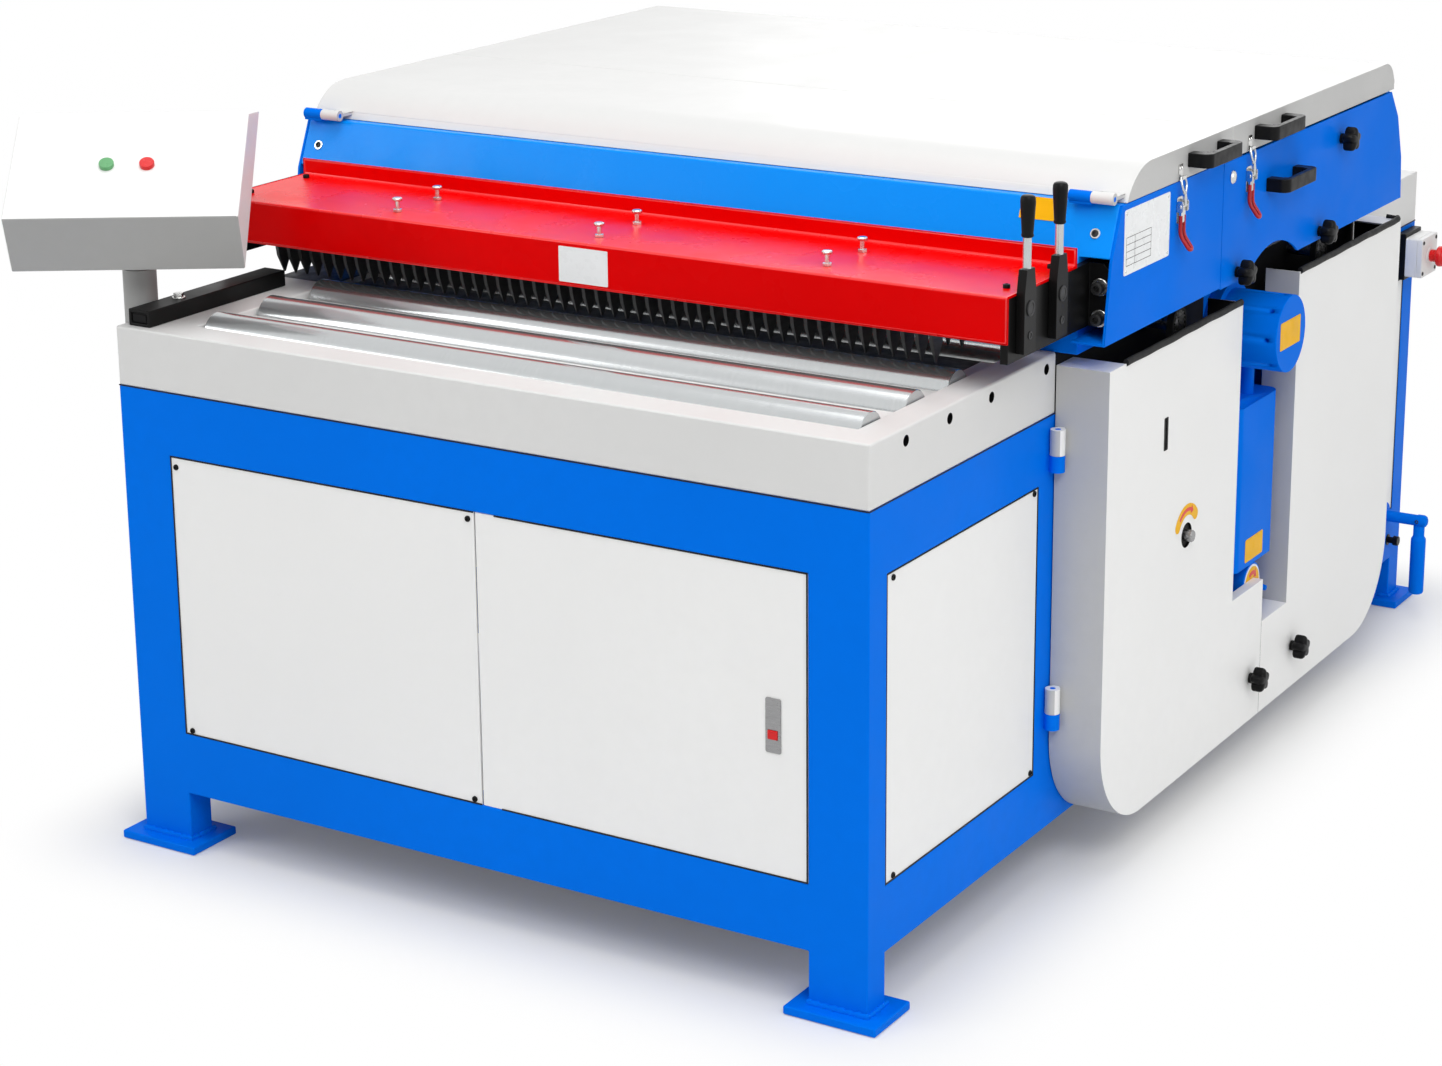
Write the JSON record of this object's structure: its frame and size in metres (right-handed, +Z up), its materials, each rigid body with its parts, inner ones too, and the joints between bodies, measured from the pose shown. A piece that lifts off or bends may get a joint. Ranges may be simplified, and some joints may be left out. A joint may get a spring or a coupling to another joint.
{
  "type": "multi rip saw",
  "caption": "Multi-blade rip saw: roller table on a welded blue frame, lidded hood over the arbor, red anti-kickback cover with fingers, hinged drive guards, swivel console, emergency stop.",
  "frame": {"origin": "on the floor under the middle of the whole machine", "axes": "+X to the right along the in-feed front, +Y along the feed to the rear, +Z up"},
  "size_m": [1.9542, 2.5914, 1.301],
  "materials": {
    "blue_paint": "satin blue machine paint",
    "white_paint": "satin white machine paint",
    "red_paint": "satin red powder coat",
    "black_paint": "satin black paint",
    "grey_paint": "grey machine enamel",
    "pale_grey_paint": "pale grey enamel",
    "chrome_steel": "bright chrome-plated steel",
    "bare_steel": "ground bare steel",
    "dark_steel": "blackened steel",
    "rubber_black": "black rubber",
    "black_plastic": "moulded black plastic",
    "red_plastic": "moulded red plastic",
    "green_plastic": "moulded pale green plastic"
  },
  "bodies": {
    "frame": {"frame_legs": "blue_paint", "frame_rails": "blue_paint", "table_bed": "white_paint", "table_sides": "white_paint", "side_panels": "white_paint", "guide_fence": "black_paint", "hood_posts": "blue_paint", "hood_sides": "blue_paint", "hood_beams": "blue_paint", "bearing_blocks": "blue_paint", "outboard_arm": "blue_paint", "main_motor": "grey_paint", "belts_and_chains": "rubber_black", "feed_gearmotor": "grey_paint", "kickback_arms": "black_paint", "kickback_cover": "red_paint", "console_post": "pale_grey_paint", "estop_box": "pale_grey_paint", "hinge_knuckles": "blue_paint"},
    "infeed_roller_1": {"infeed_roller_1": "chrome_steel"},
    "infeed_roller_2": {"infeed_roller_2": "chrome_steel"},
    "infeed_roller_3": {"infeed_roller_3": "chrome_steel"},
    "infeed_roller_4": {"infeed_roller_4": "chrome_steel"},
    "outfeed_roller": {"outfeed_roller": "chrome_steel"},
    "gear_sprocket": {"gear_sprocket": "bare_steel"},
    "jack_sprocket": {"jack_sprocket": "bare_steel"},
    "feed_roller_front": {"feed_roller_front": "bare_steel"},
    "feed_roller_rear": {"feed_roller_rear": "bare_steel"},
    "pressure_roller_front": {"pressure_roller_front": "rubber_black"},
    "pressure_roller_rear": {"pressure_roller_rear": "rubber_black"},
    "arbor": {"arbor_shaft": "bare_steel", "saw_blades": "bare_steel"},
    "motor_pulley": {"motor_pulley": "bare_steel"},
    "front_lid": {"front_lid": "white_paint", "front_lid_handle": "black_plastic"},
    "rear_lid": {"rear_lid": "white_paint", "rear_lid_handle": "black_plastic"},
    "side_door": {"side_door": "blue_paint", "side_door_handle": "black_plastic"},
    "left_guard": {"left_guard": "white_paint"},
    "right_guard": {"right_guard": "white_paint"},
    "cabinet_door": {"cabinet_door": "white_paint"},
    "lock_button": {"lock_button": "red_plastic"},
    "kickback_front": {"finger_row_front": "dark_steel", "kickback_lever_front": "bare_steel"},
    "kickback_rear": {"finger_row_rear": "dark_steel", "kickback_lever_rear": "bare_steel"},
    "latch_front": {"latch_front": "red_plastic"},
    "latch_rear": {"latch_rear": "red_plastic"},
    "left_guard_knob": {"left_guard_knob": "black_plastic"},
    "right_guard_knob": {"right_guard_knob": "black_plastic"},
    "door_knob_1": {"door_knob_1": "black_plastic"},
    "door_knob_2": {"door_knob_2": "black_plastic"},
    "door_knob_3": {"door_knob_3": "black_plastic"},
    "console": {"console_box": "pale_grey_paint"},
    "start_button": {"start_button": "green_plastic"},
    "stop_button": {"stop_button": "red_plastic"},
    "estop_button": {"estop_button": "red_plastic"},
    "crank": {"crank_handle": "blue_paint"},
    "tension_adjuster": {"tension_adjuster": "bare_steel"}
  },
  "joints": [
    {"name": "infeed_roller_1_spin", "type": "hinge", "parent": "frame", "child": "infeed_roller_1", "pos_m": [0.08413, -1.04028, 0.935], "axis": [1, 0, 0], "continuous": true},
    {"name": "infeed_roller_2_spin", "type": "hinge", "parent": "frame", "child": "infeed_roller_2", "pos_m": [0.08413, -0.89528, 0.935], "axis": [1, 0, 0], "continuous": true},
    {"name": "infeed_roller_3_spin", "type": "hinge", "parent": "frame", "child": "infeed_roller_3", "pos_m": [0.08413, -0.75028, 0.935], "axis": [1, 0, 0], "continuous": true},
    {"name": "infeed_roller_4_spin", "type": "hinge", "parent": "frame", "child": "infeed_roller_4", "pos_m": [0.08413, -0.54829, 0.935], "axis": [1, 0, 0], "continuous": true},
    {"name": "outfeed_roller_spin", "type": "hinge", "parent": "frame", "child": "outfeed_roller", "pos_m": [0.08413, 1.07571, 0.935], "axis": [1, 0, 0], "continuous": true},
    {"name": "gear_sprocket_spin", "type": "hinge", "parent": "frame", "child": "gear_sprocket", "pos_m": [0.83413, -0.17028, 0.243], "axis": [1, 0, 0], "continuous": true},
    {"name": "jack_sprocket_spin", "type": "hinge", "parent": "frame", "child": "jack_sprocket", "pos_m": [0.83413, 0.60472, 0.243], "axis": [1, 0, 0], "continuous": true},
    {"name": "feed_roller_front_spin", "type": "hinge", "parent": "frame", "child": "feed_roller_front", "pos_m": [0.08413, -0.14528, 0.935], "axis": [1, 0, 0], "continuous": true},
    {"name": "feed_roller_rear_spin", "type": "hinge", "parent": "frame", "child": "feed_roller_rear", "pos_m": [0.08413, 0.53472, 0.935], "axis": [1, 0, 0], "continuous": true},
    {"name": "pressure_roller_front_spin", "type": "hinge", "parent": "frame", "child": "pressure_roller_front", "pos_m": [0.08413, -0.14528, 1.038], "axis": [1, 0, 0], "continuous": true},
    {"name": "pressure_roller_rear_spin", "type": "hinge", "parent": "frame", "child": "pressure_roller_rear", "pos_m": [0.08413, 0.53472, 1.038], "axis": [1, 0, 0], "continuous": true},
    {"name": "arbor_spin", "type": "hinge", "parent": "frame", "child": "arbor", "pos_m": [0.08413, 0.19471, 0.851], "axis": [1, 0, 0], "continuous": true},
    {"name": "motor_pulley_spin", "type": "hinge", "parent": "frame", "child": "motor_pulley", "pos_m": [-0.48387, 0.55471, 0.419], "axis": [1, 0, 0], "continuous": true},
    {"name": "front_lid_hinge", "type": "hinge", "parent": "frame", "child": "front_lid", "pos_m": [0.08413, -0.49528, 1.222], "axis": [1, 0, 0], "range_deg": [0, 100]},
    {"name": "rear_lid_hinge", "type": "hinge", "parent": "frame", "child": "rear_lid", "pos_m": [0.08413, 0.81771, 1.222], "axis": [-1, 0, 0], "range_deg": [0, 100]},
    {"name": "side_door_lift_off", "type": "slide", "parent": "frame", "child": "side_door", "axis": [1, 0, 0], "range_m": [0, 0.3]},
    {"name": "left_guard_hinge", "type": "hinge", "parent": "frame", "child": "left_guard", "pos_m": [0.84813, -0.52878, 0.5], "axis": [0, 0, -1], "range_deg": [0, 95]},
    {"name": "right_guard_hinge", "type": "hinge", "parent": "frame", "child": "right_guard", "pos_m": [0.84813, 0.89921, 0.5], "axis": [0, 0, 1], "range_deg": [0, 75]},
    {"name": "cabinet_door_hinge", "type": "hinge", "parent": "frame", "child": "cabinet_door", "pos_m": [0.09963, -1.14928, 0.48], "axis": [0, 0, -1], "range_deg": [0, 110]},
    {"name": "lock_button_press", "type": "slide", "parent": "cabinet_door", "child": "lock_button", "axis": [0, 1, 0], "range_m": [0, 0.003], "stiffness_N_per_m": 300},
    {"name": "kickback_front_lift", "type": "hinge", "parent": "frame", "child": "kickback_front", "pos_m": [0.88813, -0.75728, 1.092], "axis": [1, 0, 0], "range_deg": [0, 25]},
    {"name": "kickback_rear_lift", "type": "hinge", "parent": "frame", "child": "kickback_rear", "pos_m": [0.88813, -0.64028, 1.092], "axis": [1, 0, 0], "range_deg": [0, 25]},
    {"name": "latch_front_swing", "type": "hinge", "parent": "frame", "child": "latch_front", "pos_m": [0.94143, -0.24929, 1.168], "axis": [0, -1, 0], "range_deg": [0, 150]},
    {"name": "latch_rear_swing", "type": "hinge", "parent": "side_door", "child": "latch_rear", "pos_m": [0.94143, 0.05772, 1.168], "axis": [0, -1, 0], "range_deg": [0, 150]},
    {"name": "left_guard_knob_turn", "type": "hinge", "parent": "left_guard", "child": "left_guard_knob", "pos_m": [0.93413, 0.15371, 0.183], "axis": [1, 0, 0], "continuous": true},
    {"name": "right_guard_knob_turn", "type": "hinge", "parent": "right_guard", "child": "right_guard_knob", "pos_m": [0.93413, 0.36372, 0.183], "axis": [1, 0, 0], "continuous": true},
    {"name": "door_knob_1_turn", "type": "hinge", "parent": "side_door", "child": "door_knob_1", "pos_m": [0.93413, 0.01571, 0.999], "axis": [1, 0, 0], "continuous": true},
    {"name": "door_knob_2_turn", "type": "hinge", "parent": "side_door", "child": "door_knob_2", "pos_m": [0.93413, 0.41872, 0.997], "axis": [1, 0, 0], "continuous": true},
    {"name": "door_knob_3_turn", "type": "hinge", "parent": "side_door", "child": "door_knob_3", "pos_m": [0.93413, 0.51672, 1.159], "axis": [1, 0, 0], "continuous": true},
    {"name": "console_swivel", "type": "hinge", "parent": "frame", "child": "console", "pos_m": [-0.70587, -1.04228, 1.054], "axis": [0, 0, 1], "range_deg": [-90, 10]},
    {"name": "start_button_press", "type": "slide", "parent": "console", "child": "start_button", "axis": [-0.3016, 0.4645, -0.8327], "range_m": [0, 0.005], "stiffness_N_per_m": 300},
    {"name": "stop_button_press", "type": "slide", "parent": "console", "child": "stop_button", "axis": [-0.3016, 0.4645, -0.8327], "range_m": [0, 0.005], "stiffness_N_per_m": 300},
    {"name": "estop_press", "type": "slide", "parent": "frame", "child": "estop_button", "axis": [-1, 0, 0], "range_m": [0, 0.005], "stiffness_N_per_m": 600},
    {"name": "crank_turn", "type": "hinge", "parent": "frame", "child": "crank", "pos_m": [0.83413, 1.13471, 0.224], "axis": [1, 0, 0], "continuous": true},
    {"name": "tension_adjust", "type": "hinge", "parent": "frame", "child": "tension_adjuster", "pos_m": [0.83413, -0.17028, 0.557], "axis": [1, 0, 0], "range_deg": [-90, 90]}
  ],
  "couplings": [
    {"joint": "motor_pulley_spin", "follows": "arbor_spin", "ratio": 0.72222},
    {"joint": "jack_sprocket_spin", "follows": "gear_sprocket_spin", "ratio": 1},
    {"joint": "feed_roller_front_spin", "follows": "gear_sprocket_spin", "ratio": 1},
    {"joint": "feed_roller_rear_spin", "follows": "gear_sprocket_spin", "ratio": 1}
  ]
}
